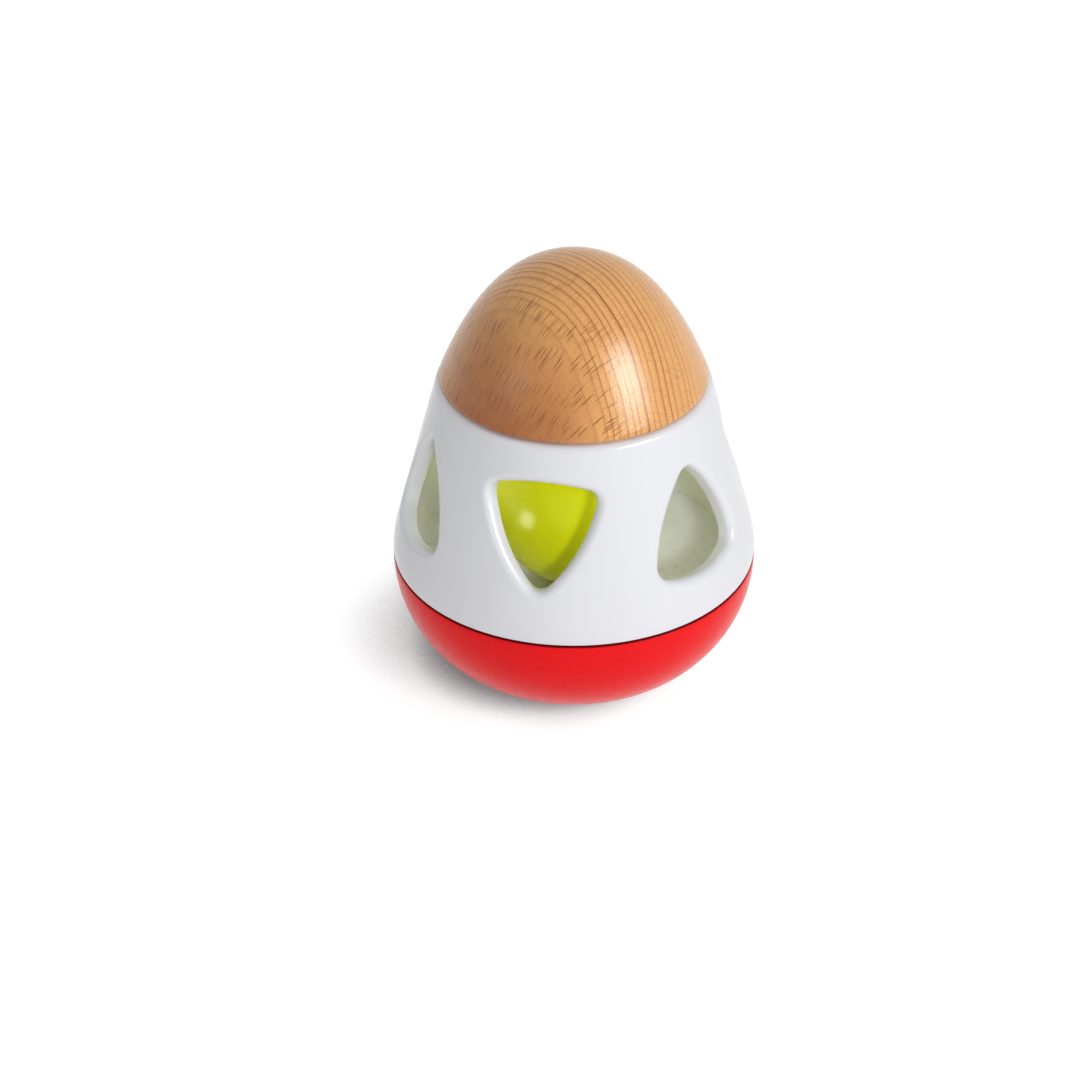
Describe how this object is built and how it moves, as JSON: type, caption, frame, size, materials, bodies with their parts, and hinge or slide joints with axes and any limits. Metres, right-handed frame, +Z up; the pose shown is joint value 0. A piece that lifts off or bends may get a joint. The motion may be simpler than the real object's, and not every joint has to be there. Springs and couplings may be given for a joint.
{
  "type": "bell rattle",
  "caption": "Egg-shaped baby rattle: turned wooden dome on a white shell with rounded triangular windows, a loose lime ball with a bell inside, and a weighted red bowl.",
  "frame": {"origin": "middle of the flat foot under the bowl, on the surface that the rattle stands on", "axes": "+Z up along the egg's axis, -Y out through a window that has its tip down, +X to that window's right"},
  "size_m": [0.065, 0.065, 0.0812],
  "materials": {
    "lacquered_beech": "clear lacquered, satin gloss",
    "white_abs": "moulded, glossy",
    "red_abs": "moulded, satin gloss",
    "lime_abs": "moulded, glossy",
    "brass": "stamped sheet and wire, bright",
    "zinc_steel": "zinc plated"
  },
  "bodies": {
    "egg": {"wood_dome": "lacquered_beech", "window_shell": "white_abs", "dome_screw_1": "zinc_steel", "dome_screw_2": "zinc_steel", "dome_screw_3": "zinc_steel", "base_bowl": "red_abs", "floor_pan": "white_abs", "base_weight": "zinc_steel", "weight_screw": "zinc_steel"},
    "ball": {"ball_front_half": "lime_abs", "ball_rear_half": "lime_abs"},
    "bell": {"bell_upper_cup": "brass", "bell_lower_cup": "brass", "bell_loop": "brass"},
    "pellet": {"bell_pellet": "zinc_steel"}
  },
  "joints": [
    {"name": "ball_roll", "type": "hinge", "parent": "egg", "child": "ball", "pos_m": [0, 0, 0.15248], "axis": [0, 1, 0], "range_deg": [-5.8, 5.8]},
    {"name": "bell_roll", "type": "hinge", "parent": "ball", "child": "bell", "pos_m": [0, 0, 0.0322], "axis": [1, 0, 0], "continuous": true},
    {"name": "pellet_roll", "type": "hinge", "parent": "bell", "child": "pellet", "pos_m": [0, 0, 0.0277], "axis": [0, 1, 0], "range_deg": [-130, 130]}
  ]
}
